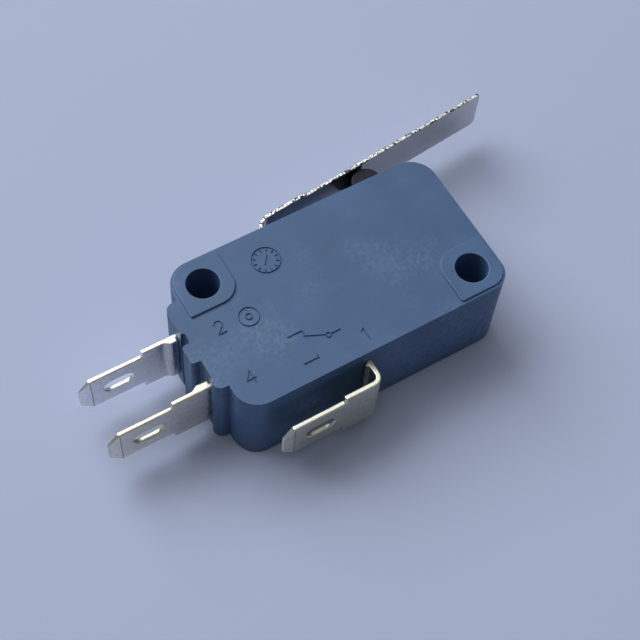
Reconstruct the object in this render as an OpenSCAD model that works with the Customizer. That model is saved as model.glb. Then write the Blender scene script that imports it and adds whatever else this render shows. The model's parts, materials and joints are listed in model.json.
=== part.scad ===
// Snap-action lever micro switch with three quick-connect terminals.
// It lies on its cover: X runs along the body, away from the two end terminals,
// Y points to the plunger side, and Z is up, through the thickness.
// The origin is midway between the two mounting holes, on the plane of the cover's pads.

/* [Housing] */
// Length of the body, without the raised block at the terminal end
body_l = 27.8; // [27:0.1:30]
// Width of the body, from the terminal side to the plunger side
body_w = 15.9; // [15.4:0.1:18]
// Thickness over the raised pads
body_t = 10.3; // [10:0.1:12]
// Height of the raised pads round the mounting holes
pad_h = 0.25; // [0.1:0.05:0.4]
// Side wall thickness
wall = 1.3; // [0.9:0.1:1.5]
// Thickness of the case top and of the cover plate
skin = 1.3; // [0.9:0.1:1.4]
// Height of the joint line between the cover and the case
split_z = 3.35; // [2.9:0.05:3.4]
// Radius of the two corners at the terminal end
corner_r = 2.4; // [1.6:0.1:2.8]
// Radius of the corner under the lever
lever_corner_r = 2.6; // [1.6:0.1:3]
// Radius of the corner opposite the lever
foot_corner_r = 2; // [1.6:0.1:3]

/* [Mounting holes] */
// Distance from the end of the body to the middle of a mounting hole
hole_end = 2.8; // [2.6:0.1:3.2]
// Distance from the side of the body to the middle of a mounting hole
hole_side = 2.8; // [2.6:0.1:3.2]
// Diameter of the mounting holes
hole_d = 3.1; // [2.8:0.1:3.3]
// Wall of the tube round each mounting hole
boss_wall = 0.65; // [0.45:0.05:0.7]
// Length of each raised pad, inwards from the end of the body
pad_l = 5.5; // [5:0.1:6.5]
// Width of each raised pad, inwards from the side of the body
pad_w = 5.4; // [5:0.1:6.5]
// Radius of the inner corner of each pad
pad_r = 2; // [0.5:0.1:2.4]

/* [Terminal end] */
// How far the end block stands out from the body
block_l = 1.2; // [0.8:0.1:1.6]
// Width of the end block
block_w = 9.6; // [9.2:0.1:9.8]
// How far the block stands further out round the upper end terminal
step_l = 0.15; // [0.05:0.05:0.3]
// Depth of the recesses beside the barrier
recess = 0.25; // [0.1:0.05:0.6]
// How far the barrier between the terminals stands out from the end block
barrier_l = 0.65; // [0.3:0.05:1.2]
// Width of the barrier
barrier_w = 2; // [1.2:0.1:2.4]
// Radius of the end block's outer corners
block_r = 0.8; // [0.3:0.1:1]

/* [Terminals] */
// Thickness of the terminal strip
strip_t = 0.5; // [0.4:0.05:0.6]
// Width of the terminal strip where it leaves the housing
strip_w = 6.35; // [6:0.05:6.5]
// Width of the tab that takes the receptacle
tab_w = 4.75; // [4.5:0.05:5]
// Length of the tab
tab_l = 6.3; // [5.8:0.1:7]
// Length of the wide neck between the end block and a tab
neck_l = 3.65; // [2.6:0.05:5]
// Length of the chamfered, thinned tip of a tab
tip_l = 1.1; // [0.6:0.1:1.4]
// Thickness left at the very end of a tab
tip_t = 0.28; // [0.15:0.01:0.35]
// Length of the oblong hole in a tab
eye_l = 2.9; // [2.4:0.1:3.1]
// Width of the oblong hole in a tab
eye_w = 1.6; // [1.2:0.1:1.8]
// Distance from the root of a tab to the middle of its oblong hole
eye_at = 2.45; // [2.1:0.05:2.8]
// Distance between the two end terminals, centre to centre
tab_pitch = 5.84; // [5.7:0.02:6.2]
// Height of the stop shoulder on each terminal
shoulder = 0.36; // [0.2:0.02:0.45]
// Length of the shoulder outside the end block
shoulder_l = 0.95; // [0.5:0.05:1.2]
// Place of the common terminal's bracket along the body
com_x = -1.45; // [-2:0.05:-1]
// Gap between the body's side and the common tab
com_gap = 1.9; // [1.4:0.1:2.6]
// Outer bend radius of the common terminal
com_r = 1; // [0.7:0.1:1.2]
// Distance from the common bracket to the root of its tab
com_neck = 3.75; // [2.6:0.05:5]

/* [Contacts] */
// Open gap of the contacts
contact_gap = 0.6; // [0.3:0.05:0.9]
// Distance from the arm's knife edge to the contacts
arm_reach = 7.65; // [7.4:0.05:7.8]
// Radius of the fixed contacts
fixed_r = 1.6; // [1.2:0.1:1.7]
// Radius of the moving contact
moving_r = 1.4; // [1.1:0.1:1.5]
// Thickness of the double-faced moving contact
moving_t = 2.3; // [1.8:0.1:2.5]
// Crown of each contact face
crown = 0.15; // [0.05:0.01:0.2]
// Radius of the contact rivets' shanks
shank_r = 0.75; // [0.5:0.05:0.85]

/* [Snap mechanism] */
// Thickness of the contact arm
arm_t = 0.35; // [0.25:0.05:0.45]
// Width of the contact arm
arm_w = 5.4; // [5:0.1:5.8]
// Width of the windows that the spring passes through
window_w = 3.4; // [3:0.1:3.6]
// Depth of the knife-edge notches in the common bracket
notch = 0.2; // [0.14:0.01:0.22]
// Thickness of the operating lever
oper_t = 0.45; // [0.35:0.05:0.5]
// Width of the operating lever
oper_w = 5.2; // [4.8:0.1:5.6]
// Height of the common terminal's guide above the inner wall
guide_h = 1.1; // [0.6:0.1:1.3]
// Distance from that guide up to the operating lever's knife edge
oper_rise = 1.55; // [1.2:0.05:1.8]
// Place of the spring's hook on the operating lever, as a part of its length
oper_hook = 0.4; // [0.35:0.01:0.45]
// Radius of the rounded nose under the plunger
nose_r = 0.5; // [0.4:0.05:0.6]
// Free gap between the nose and the plunger's foot
press_gap = 0.08; // [0.03:0.01:0.12]
// Mean radius of the tension spring's coil
coil_r = 0.95; // [0.8:0.05:1]
// Wire diameter of the tension spring
wire_d = 0.3; // [0.24:0.02:0.34]
// Number of working turns of the tension spring
turns = 12; // [8:1:14]
// Radius of the spring's end hooks
hook_r = 0.55; // [0.5:0.05:0.6]

/* [Plunger] */
// Place of the plunger along the body
plunger_x = 9.1; // [8.6:0.1:9.3]
// Width of the plunger along the body
plunger_w = 3; // [2.6:0.1:3.2]
// Thickness of the plunger
plunger_t = 3.5; // [2.8:0.1:3.6]
// How far the free plunger reaches into the room inside the housing
plunger_in = 3.35; // [3:0.05:3.6]
// How far the free plunger stands out of the body
plunger_out = 3.05; // [2.9:0.05:3.2]
// Radius of the plunger's rounded top
plunger_r = 1.5; // [1.5:0.05:2.2]

/* [Actuator lever] */
// Thickness of the lever strip
lever_t = 0.35; // [0.25:0.05:0.4]
// Width of the lever's blade
lever_w = 4.6; // [3.8:0.1:5]
// Width of the lever's root at the hinge
root_w = 5.2; // [4.8:0.1:5.6]
// Distance along the body from the hinge to the tip
lever_l = 26.8; // [18:0.1:40]
// Angle between the free lever and the body
lever_a = 6; // [5:0.1:7]
// Inner bend radius at the lever's root
root_bend = 1.35; // [1:0.05:1.5]
// Distance from the hinge to the shoulder where the root ends
root_l = 5.2; // [4.5:0.1:6]
// Chamfer on the lever's tip
lever_chamfer = 0.6; // [0.4:0.1:1.6]
// Place of the hinge along the body
hinge_x = -2.3; // [-2.8:0.1:-2]
// Depth of the hinge below the body's side
hinge_depth = 0.95; // [0.85:0.05:1.1]
// Radius of the hinge pin
pin_r = 0.4; // [0.3:0.05:0.5]

/* [Clearances] */
// Clearance of each piece in its slot
fit = 0.05; // [0.03:0.01:0.08]
// Gap between pieces that press on each other
touch = 0.03; // [0.02:0.01:0.05]
// Gap between the plunger's top and the lever's blade
tip_gap = 0.06; // [0.03:0.01:0.1]
// Room left round the lever's root in its pocket
pocket_gap = 0.3; // [0.15:0.05:0.4]

/* [Hidden] */
$fn = 64;
far = 60;                                   // longer than any cut needs to be

// Housing
x0 = -body_l / 2;
x1 = body_l / 2;
y0 = -body_w / 2;
y1 = body_w / 2;
hole_dx = body_l - 2 * hole_end;            // between the mounting holes, along the body
hole_dy = body_w - 2 * hole_side;           // and across it
face_z = body_t - pad_h;                    // main face of the case
roof_z = face_z - skin;                     // inside of the case top
floor_z = pad_h + skin;                     // inside of the cover plate
mid_z = body_t / 2;
boss_r = hole_d / 2 + boss_wall;
holes = [[-hole_dx / 2, hole_dy / 2], [hole_dx / 2, -hole_dy / 2]];
block_x = x0 - block_l;                     // end face of the terminal block
pad_inset = 0.25;
tongue_h = 0.8;                             // locating tongues on the cover
tongue_t = 0.6;
tongue_root = 0.9;
tongue_w = 4.2;
guide_w = 2.5;                              // guide that holds the common bracket upright

// Terminals: the upper end strip passes just under the tube of a mounting hole
nc_y = hole_dy / 2 - boss_r - 0.08 - strip_t / 2;
no_y = nc_y - tab_pitch;
arm_y = (nc_y + no_y) / 2;                  // height of the arm's knife edge
strip_z0 = mid_z - strip_w / 2;
strip_z1 = mid_z + strip_w / 2;
com_left = com_x - strip_t / 2;
com_right = com_x + strip_t / 2;
com_tab_y = y0 - com_gap - strip_t / 2;
tab_root_x = block_x - neck_l;
com_root_x = com_right - com_neck - strip_t / 2;

// Contact arm: its knife edge stands in the bracket's left notch
arm_x = com_left + notch - fit;
arm_tilt = asin(contact_gap / 2 / arm_reach);
contact_x = arm_x - arm_reach * cos(arm_tilt);
fixed_h = (tab_pitch - strip_t - moving_t - contact_gap) / 2 - touch;
arm_end = arm_reach + moving_r + 0.15;
hook_at = arm_reach - moving_r - 0.85;      // spring hole in the arm, from the knife edge
hook_a = [arm_x - hook_at * cos(arm_tilt), arm_y + hook_at * sin(arm_tilt)];
strip_in_x = contact_x + fixed_r + 0.1;     // inner end of the fixed-contact strips

// Operating lever: its knife edge stands in the bracket's right notch
oper_x = com_right - notch + fit;
oper_y = y0 + wall + guide_h + oper_rise;
nose_x = plunger_x - nose_r;
hook_o = [oper_x + (nose_x - oper_x) * oper_hook, arm_y + coil_r * 0.38];
plunger_top = y1 + plunger_out;
foot_y = y1 - wall - plunger_in;            // underside of the plunger's foot
nose = [nose_x, foot_y - nose_r - press_gap];
window_y0 = arm_y - 2.1 * coil_r;
window_y1 = arm_y + 1.75 * coil_r;
bracket_top = window_y1 + strip_t;

// Plunger
flange_y1 = y1 - wall - touch;
flange_h = 0.6;
flange_rim = 0.6;
flange_w = plunger_w + 2 * flange_rim;
flange_t = plunger_t + 2 * flange_rim;
foot_rim = 0.5;
foot_w = plunger_w + 2 * foot_rim;

// Actuator lever: the blade rests on the plunger's rounded top
hinge = [hinge_x, y1 - hinge_depth];
plunger_c = [plunger_x, plunger_top - plunger_r];
blade_h = (plunger_c[1] - hinge[1]) * cos(lever_a) - (plunger_c[0] - hinge[0]) * sin(lever_a)
    + plunger_r + tip_gap;                  // distance from the hinge to the blade's inner face
hook_in = pin_r + fit;                      // inner radius of the hook round the pin
foot_x = hinge[0] - hook_in;                // inner face of the lever's foot
bend_c = [foot_x + root_bend,
    hinge[1] + (blade_h - root_bend + (root_bend - hook_in) * sin(lever_a)) / cos(lever_a)];
pocket_x0 = foot_x - lever_t - pocket_gap;
pocket_x1 = hinge[0] + hook_in + lever_t + pocket_gap;
pocket_y0 = hinge[1] - hook_in - lever_t - pocket_gap;
pocket_z0 = mid_z - root_w / 2 - pocket_gap / 2;
pocket_z1 = mid_z + root_w / 2 + pocket_gap / 2;
pocket_wall = 0.8;

// A rectangle between two corners whose four corners have their own radii
module rounded_box_2d(a, b, r_near_left, r_near_right, r_far_right, r_far_left) {
    polygon([
        [a[0] + r_near_left, a[1]], [b[0] - r_near_right, a[1]],
        [b[0], a[1] + r_near_right], [b[0], b[1] - r_far_right],
        [b[0] - r_far_right, b[1]], [a[0] + r_far_left, b[1]],
        [a[0], b[1] - r_far_left], [a[0], a[1] + r_near_left]
    ]);
    translate([a[0] + r_near_left, a[1] + r_near_left]) circle(r_near_left);
    translate([b[0] - r_near_right, a[1] + r_near_right]) circle(r_near_right);
    translate([b[0] - r_far_right, b[1] - r_far_right]) circle(r_far_right);
    translate([a[0] + r_far_left, b[1] - r_far_left]) circle(r_far_left);
}

// A plain box between two corners
module block(a, b) {
    translate(a) cube(b - a);
}

// A 2D shape extruded between two heights
module slab(z0, z1) {
    translate([0, 0, z0]) linear_extrude(z1 - z0) children();
}

// A ring sector from angle a0 to angle a1, less than half a turn
module arc_2d(r_in, t, a0, a1) {
    reach = 3 * (r_in + t);
    intersection() {
        difference() {
            circle(r_in + t);
            circle(r_in);
        }
        polygon([[0, 0], reach * [cos(a0), sin(a0)],
            reach * [cos((a0 + a1) / 2), sin((a0 + a1) / 2)], reach * [cos(a1), sin(a1)]]);
    }
}

// Outer outline of the housing, with the block and the barrier at the terminal end
module outline_2d() {
    sharp = 0.01;
    groove_w = 1.1;
    rib_w = 1;                              // rib beside the lower end terminal
    low = arm_y - 0.2 - barrier_w / 2;      // the barrier's two sides
    high = low + barrier_w;
    difference() {
        union() {
            rounded_box_2d([x0, y0], [x1, y1], corner_r, foot_corner_r, lever_corner_r, corner_r);
            rounded_box_2d([block_x, -block_w / 2], [x0 + corner_r, block_w / 2],
                block_r, sharp, sharp, block_r);
            rounded_box_2d([block_x - step_l, high + groove_w], [x0 + corner_r, block_w / 2],
                2 * sharp, sharp, sharp, block_r);
        }
        // Recesses on both sides of the barrier
        rounded_box_2d([block_x - 1, high], [block_x + recess, high + groove_w], sharp, 0.2, 0.2, sharp);
        rounded_box_2d([block_x - 1, rib_w - block_w / 2], [block_x + recess, low], sharp, 0.2, 0.2, sharp);
    }
    rounded_box_2d([block_x - barrier_l, low], [block_x + 1, high], 0.35, sharp, sharp, 0.35);
}

// Outline of the room inside the housing
module room_2d(inset = 0) {
    d = wall + inset;
    rounded_box_2d([x0 + d, y0 + d], [x1 - d, y1 - d], corner_r - wall, foot_corner_r / 2,
        lever_corner_r - wall, corner_r - wall);
}

// Raised pad round the mounting hole opposite the lever, in a body corner of the given radius
module pad_2d(body_r) {
    rounded_box_2d([x1 - pad_l, y0 + pad_inset], [x1 - pad_inset, y0 + pad_w],
        0.3, body_r - pad_inset, 0.1, pad_r);
}

// Both raised pads: the second is the first turned half a turn
module pads_2d() {
    pad_2d(foot_corner_r);
    rotate(180) pad_2d(corner_r);
}

// Bosses, guides and the hinge housing, which stand inside both halves
module inner_posts_2d() {
    for (h = holes) translate(h) circle(boss_r);
    translate([com_x - guide_w / 2, y0 + wall / 2]) square([guide_w, wall / 2 + guide_h]);
    translate([pocket_x0 - pocket_wall, pocket_y0 - pocket_wall])
        square([pocket_x1 - pocket_x0 + 2 * pocket_wall, y1 - wall / 2 - pocket_y0 + pocket_wall]);
}

// Holes and slots that pass through both halves
module passages() {
    for (h = holes) translate([h[0], h[1], -1]) cylinder(d = hole_d, h = body_t + 2);
    // Slots for the end terminals
    for (y = [nc_y, no_y])
        block([block_x - 2, y - strip_t / 2 - fit, strip_z0 - fit],
            [x0 + wall + 1, y + strip_t / 2 + fit, strip_z1 + fit]);
    // Slot for the common terminal
    block([com_left - fit, y0 - 2, strip_z0 - fit], [com_right + fit, y0 + wall + 2, strip_z1 + fit]);
    // Slot for the plunger
    block([plunger_x - plunger_w / 2 - fit, y1 - wall - 1, mid_z - plunger_t / 2 - fit],
        [plunger_x + plunger_w / 2 + fit, y1 + 1, mid_z + plunger_t / 2 + fit]);
    // Pocket that the lever's hook turns in
    block([pocket_x0, pocket_y0, pocket_z0], [pocket_x1, y1 + 1, pocket_z1]);
}

module case() {
    color("#4e6487") {
        difference() {
            union() {
                slab(split_z, face_z) outline_2d();
                slab(face_z - 0.1, body_t) pads_2d();
            }
            difference() {
                slab(split_z - 1, roof_z) room_2d();
                slab(split_z - 2, roof_z + 1) inner_posts_2d();
            }
            passages();
        }
        // Hinge pin, moulded across the pocket
        translate([hinge[0], hinge[1], pocket_z0 + 0.1])
            cylinder(r = pin_r, h = pocket_z1 - pocket_z0 - 0.05);
    }
}

// A locating tongue on the cover, standing just inside the case wall: it is w long, its outer
// face is at the origin and it is turned by a
module tongue(p, a, w) {
    translate([p[0], p[1], split_z]) rotate([0, 0, a]) {
        block([fit, -w / 2, -tongue_root], [fit + tongue_t, w / 2, tongue_h]);
        block([-wall / 2, -w / 2, -tongue_root], [fit + tongue_t, w / 2, 0]);
    }
}

module cover() {
    color("#43587c") difference() {
        union() {
            difference() {
                union() {
                    slab(pad_h, split_z) outline_2d();
                    slab(0, pad_h + 0.1) pads_2d();
                }
                difference() {
                    slab(floor_z, split_z + 1) room_2d();
                    slab(floor_z - 1, split_z + 2) inner_posts_2d();
                }
            }
            tongue([x1 - wall, 0], 180, tongue_w);
            tongue([x0 + wall, arm_y], 0, tab_pitch - strip_t - tongue_w / 2);
            tongue([(com_right + holes[1][0]) / 2, y0 + wall], 90, tongue_w);
            tongue([(hinge_x + plunger_x) / 2 + 0.8, y1 - wall], -90, tongue_w / 2);
        }
        passages();
    }
}

module plunger() {
    stem = [plunger_x - plunger_w / 2, plunger_x + plunger_w / 2];
    color("#1c1d20") {
        slab(mid_z - plunger_t / 2, mid_z + plunger_t / 2) {
            intersection() {
                union() {
                    translate([stem[0], foot_y]) square([plunger_w, plunger_c[1] - foot_y]);
                    translate(plunger_c) circle(plunger_r);
                }
                translate([stem[0], foot_y]) square([plunger_w, far]);
            }
            translate([plunger_x - foot_w / 2, foot_y]) square([foot_w, flange_h]);
        }
        block([plunger_x - flange_w / 2, flange_y1 - flange_h, mid_z - flange_t / 2],
            [plunger_x + flange_w / 2, flange_y1, mid_z + flange_t / 2]);
    }
}

// Side view of the actuator lever: hook, foot, bend and blade
module lever_side_2d(blade_end) {
    translate(hinge) {
        arc_2d(hook_in, lever_t, 179.9, 270);
        arc_2d(hook_in, lever_t, 269.9, 340);
    }
    translate([foot_x - lever_t, hinge[1]]) square([lever_t, bend_c[1] - hinge[1]]);
    translate(bend_c) arc_2d(root_bend, lever_t, 90 + lever_a - 0.1, 180.1);
    translate(bend_c) rotate(lever_a) translate([0, root_bend])
        square([(blade_end - bend_c[0]) / cos(lever_a), lever_t]);
}

module actuator_lever() {
    shoulder_x = hinge[0] + root_l;
    tip_x = hinge[0] + lever_l;
    color("#c9cbc6") intersection() {
        union() {
            slab(mid_z - root_w / 2, mid_z + root_w / 2) lever_side_2d(shoulder_x);
            slab(mid_z - lever_w / 2, mid_z + lever_w / 2) lever_side_2d(tip_x);
        }
        // Chamfered tip, seen from the plunger side
        translate([0, far, 0]) rotate([90, 0, 0]) linear_extrude(2 * far) polygon([
            [-far, -far], [tip_x - lever_chamfer, -far],
            [tip_x - lever_chamfer, mid_z - lever_w / 2], [tip_x, mid_z - lever_w / 2 + 0.8 * lever_chamfer],
            [tip_x, mid_z + lever_w / 2 - 0.3], [tip_x - 0.3, mid_z + lever_w / 2],
            [tip_x - 0.3, far], [-far, far]
        ]);
    }
}

// Face view of a tab: its root is at the origin and it points along +X
module tab_face_2d(neck) {
    c = tip_l;
    difference() {
        union() {
            translate([-neck, -strip_w / 2]) square([neck, strip_w]);
            polygon([
                [-0.1, -tab_w / 2], [tab_l - c, -tab_w / 2], [tab_l, -tab_w / 2 + c],
                [tab_l, tab_w / 2 - c], [tab_l - c, tab_w / 2], [-0.1, tab_w / 2]
            ]);
        }
        translate([eye_at - eye_l / 2 + eye_w / 2, 0]) circle(eye_w / 2);
        translate([eye_at + eye_l / 2 - eye_w / 2, 0]) circle(eye_w / 2);
        translate([eye_at - eye_l / 2 + eye_w / 2, -eye_w / 2]) square([eye_l - eye_w, eye_w]);
    }
}

// Edge view of a tab with its thinned tip, pointing along +X
module tab_edge_2d(neck) {
    polygon([
        [-neck, -strip_t / 2], [tab_l - tip_l, -strip_t / 2], [tab_l, -tip_t / 2],
        [tab_l, tip_t / 2], [tab_l - tip_l, strip_t / 2], [-neck, strip_t / 2]
    ]);
}

// A tab and its neck, pointing along -X from its root at x, on the plane at y
module tab(x, y, neck) {
    translate([x, y, mid_z]) mirror([1, 0, 0]) intersection() {
        translate([0, strip_t, 0]) rotate([90, 0, 0]) linear_extrude(2 * strip_t) tab_face_2d(neck);
        slab(-strip_w, strip_w) tab_edge_2d(neck);
    }
}

// An end terminal whose stop shoulder and contact face the barrier, on the given side; its
// shoulder stands against the wall at wall_x
module end_terminal(y, side, wall_x) {
    ramp_x = block_x - shoulder_l;
    color("#c4c6c0") difference() {
        union() {
            tab(tab_root_x, y, strip_in_x - tab_root_x);
            slab(strip_z0, strip_z1) polygon([
                [wall_x - fit, y], [wall_x - fit, y + side * (strip_t / 2 + shoulder)],
                [ramp_x, y + side * (strip_t / 2 + shoulder)],
                [ramp_x - 1.5 * shoulder, y + side * strip_t / 2], [ramp_x - 1.5 * shoulder, y]
            ]);
        }
        translate([contact_x, y + strip_t, mid_z]) rotate([90, 0, 0])
            cylinder(r = shank_r, h = 2 * strip_t);
    }
}

module nc_terminal() {
    end_terminal(nc_y, -1, block_x - step_l);
}

module no_terminal() {
    end_terminal(no_y, 1, block_x + recess);
}

module com_terminal() {
    bend_x = com_right - com_r;
    bend_y = com_tab_y - strip_t / 2 + com_r;
    color("#c4c6c0") {
        tab(com_root_x, com_tab_y, bend_x - com_root_x);
        slab(strip_z0, strip_z1) {
            translate([bend_x, bend_y]) arc_2d(com_r - strip_t, strip_t, -90, 0);
            // Stop shoulder against the body's side
            translate([com_left - 0.25, y0 - fit - 0.4]) square([0.4, 0.4]);
        }
        difference() {
            block([com_left, bend_y, strip_z0], [com_right, bracket_top, strip_z1]);
            // Window for the spring
            block([com_left - 1, window_y0, mid_z - window_w / 2],
                [com_right + 1, window_y1, mid_z + window_w / 2]);
            // Notches for the two knife edges
            slab(0, far) {
                translate([com_left, arm_y]) rotate(45) square(notch * sqrt(2), center = true);
                translate([com_right, oper_y]) rotate(45) square(notch * sqrt(2), center = true);
            }
        }
    }
}

// A contact face with a crown, its axis along +Z
module contact_head(r, h) {
    ball = (r * r + crown * crown) / (2 * crown);
    intersection() {
        cylinder(r = r, h = h);
        translate([0, 0, h - ball]) sphere(ball, $fn = 96);
    }
}

// A fixed contact riveted through a terminal strip; side is the way that it faces
module fixed_contact(y, side) {
    color("#dcdcd8") translate([contact_x, y, mid_z]) rotate([-90 * side, 0, 0]) {
        translate([0, 0, strip_t / 2]) contact_head(fixed_r, fixed_h);
        translate([0, 0, -strip_t / 2 - 0.1]) cylinder(r = shank_r, h = strip_t + 0.2);
        translate([0, 0, -strip_t / 2 - 0.2]) cylinder(r = shank_r + 0.2, h = 0.2);
    }
}

module nc_contact() {
    fixed_contact(nc_y, -1);
}

module no_contact() {
    fixed_contact(no_y, 1);
}

// Puts a piece that points along -X from the knife edge into the arm's rest position
module on_arm() {
    translate([arm_x, arm_y, mid_z]) rotate([0, 0, -arm_tilt]) children();
}

module contact_arm() {
    leg = (arm_w - window_w) / 2;
    color("#c79a55") on_arm() difference() {
        slab(-arm_w / 2, arm_w / 2) polygon([
            [0, 0], [-0.3, arm_t / 2], [-arm_end, arm_t / 2], [-arm_end, -arm_t / 2], [-0.3, -arm_t / 2]
        ]);
        // Window between the two legs, with a tab that holds the spring's hook
        translate([0, arm_t, 0]) rotate([90, 0, 0]) linear_extrude(2 * arm_t) difference() {
            translate([-hook_at - 0.5, -window_w / 2]) square([hook_at + 1, window_w]);
            translate([-hook_at - 1, -0.7]) square([1.5, 1.4]);
        }
        translate([-hook_at, arm_t, 0]) rotate([90, 0, 0]) cylinder(r = wire_d / 2 + 0.09, h = 2 * arm_t);
        translate([-arm_reach, arm_t, 0]) rotate([90, 0, 0]) cylinder(r = shank_r, h = 2 * arm_t);
    }
}

module moving_contact() {
    head = (moving_t - arm_t) / 2;
    color("#dcdcd8") on_arm() translate([-arm_reach, 0, 0]) {
        for (side = [-1, 1]) rotate([90 * side, 0, 0]) translate([0, 0, arm_t / 2])
            contact_head(moving_r, head);
        rotate([90, 0, 0]) cylinder(r = shank_r, h = arm_t + 0.2, center = true);
    }
}

module operating_lever() {
    tip = [oper_x, oper_y];
    heel = [oper_x + 0.9, oper_y];
    along = (hook_o - heel) / norm(hook_o - heel);
    angle = atan2(along[1], along[0]);
    bend = hook_o + 1.2 * along;
    after = (nose - bend) / norm(nose - bend);
    across = oper_t / 2 * [-along[1], along[0]];
    across_end = oper_t / 2 * [-after[1], after[0]];
    across_tip = oper_t / 2 * [0, 1];
    miter_heel = (across_tip + across) / (1 + along[0]);
    miter = (across + across_end) / (1 + along * after);
    gap = wire_d / 2 + 0.1;
    color("#b9bcbb") difference() {
        slab(mid_z - oper_w / 2, mid_z + oper_w / 2) {
            polygon([
                tip, tip + [0.4, 0] - across_tip, heel - miter_heel, bend - miter, nose - across_end,
                nose + across_end, bend + miter, heel + miter_heel, tip + [0.4, 0] + across_tip
            ]);
            translate(nose) circle(nose_r);
        }
        // Two slots with a bridge between them, which the spring's hook closes round
        translate([hook_o[0], hook_o[1], mid_z]) rotate([0, 0, angle]) for (side = [-1, 1])
            translate([side * hook_r, 0, 0]) block([-gap, -1, -gap], [gap, 1, gap]);
    }
}

// Tension spring: two end hooks in the plane of the hooks' holes, and a coil between them
function unit(v) = v / norm(v);
axis_o = hook_o - hook_a;
spring_len = norm(axis_o);
spring_turn = atan2(axis_o[1], axis_o[0]);
coil_x0 = 2 * hook_r + 0.45;
coil_x1 = spring_len - hook_r - 0.75;
per_turn = 18;
hook_steps = 14;
spring_path = concat(
    [for (i = [0 : hook_steps]) let (a = -60 - 210 * i / hook_steps)
        [hook_r + hook_r * cos(a), hook_r * sin(a), 0]],
    [for (i = [0 : turns * per_turn]) let (a = 360 * i / per_turn)
        [coil_x0 + (coil_x1 - coil_x0) * i / (turns * per_turn), coil_r * cos(a), coil_r * sin(a)]],
    [for (i = [0 : hook_steps]) let (a = 120 - 270 * i / hook_steps)
        [spring_len + hook_r * cos(a), hook_r * sin(a), 0]]
);

// A round wire swept along a path, as one closed skin
module wire(path, d, sides = 8) {
    n = len(path);
    tangent = [for (i = [0 : n - 1]) unit(path[min(i + 1, n - 1)] - path[max(i - 1, 0)])];
    start = unit(cross(tangent[0], [0, 0, 1]));
    side = [for (i = 0, s = start; i < n;
        i = i + 1, s = i < n ? unit(s - (s * tangent[i]) * tangent[i]) : s) s];
    points = [for (i = [0 : n - 1]) let (u = side[i], w = cross(tangent[i], u))
        for (k = [0 : sides - 1]) path[i] + d / 2 * (u * cos(360 * k / sides) + w * sin(360 * k / sides))];
    walls = [for (i = [0 : n - 2]) for (k = [0 : sides - 1]) let (j = (k + 1) % sides)
        [i * sides + k, (i + 1) * sides + k, (i + 1) * sides + j, i * sides + j]];
    ends = [[for (k = [0 : sides - 1]) k], [for (k = [sides - 1 : -1 : 0]) (n - 1) * sides + k]];
    polyhedron(points, concat(ends, walls), convexity = 20);
}

module tension_spring() {
    color("#8d9196") translate([hook_a[0], hook_a[1], mid_z]) rotate([0, 0, spring_turn])
        wire(spring_path, wire_d);
}

case();
cover();
plunger();
actuator_lever();
com_terminal();
nc_terminal();
no_terminal();
nc_contact();
no_contact();
contact_arm();
moving_contact();
operating_lever();
tension_spring();
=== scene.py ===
"""Dresses a lever micro switch: its moulded housing, plated blades, hinged lever and snap mechanism.

Lengths in this file are in millimetres and are turned into metres where a mesh is made.
"""

from __future__ import annotations

import json
import logging
import math
from collections.abc import Callable, Mapping, Sequence
from dataclasses import dataclass, field
from enum import Enum
from typing import Any, Union

import bmesh
import bpy
from mathutils import Matrix, Vector

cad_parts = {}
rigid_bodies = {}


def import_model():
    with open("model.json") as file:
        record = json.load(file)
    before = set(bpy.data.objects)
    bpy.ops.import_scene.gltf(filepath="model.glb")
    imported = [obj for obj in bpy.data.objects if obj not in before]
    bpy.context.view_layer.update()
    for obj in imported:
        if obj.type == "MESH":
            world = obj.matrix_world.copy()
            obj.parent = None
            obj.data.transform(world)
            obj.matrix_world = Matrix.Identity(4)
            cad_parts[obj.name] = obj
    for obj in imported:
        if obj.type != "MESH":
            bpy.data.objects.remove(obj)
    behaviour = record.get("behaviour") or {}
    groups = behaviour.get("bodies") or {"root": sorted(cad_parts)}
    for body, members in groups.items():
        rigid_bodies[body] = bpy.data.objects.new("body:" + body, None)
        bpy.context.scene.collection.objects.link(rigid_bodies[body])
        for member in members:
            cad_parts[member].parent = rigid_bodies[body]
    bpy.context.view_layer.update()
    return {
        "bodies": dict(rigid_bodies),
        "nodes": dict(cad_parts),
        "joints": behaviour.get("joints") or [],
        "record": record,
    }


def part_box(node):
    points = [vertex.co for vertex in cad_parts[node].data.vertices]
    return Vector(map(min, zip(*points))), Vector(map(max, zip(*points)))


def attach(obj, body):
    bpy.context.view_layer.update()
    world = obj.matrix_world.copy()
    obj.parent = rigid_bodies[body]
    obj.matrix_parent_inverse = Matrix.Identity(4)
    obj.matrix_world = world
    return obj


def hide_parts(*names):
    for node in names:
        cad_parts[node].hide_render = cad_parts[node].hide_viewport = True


LOG = logging.getLogger("micro_switch")
MM = 0.001
Number = Union[int, float]
Colour = tuple[float, float, float]
Edge = bmesh.types.BMEdge


# Shader maths ------------------------------------------------------------------------------------


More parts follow.
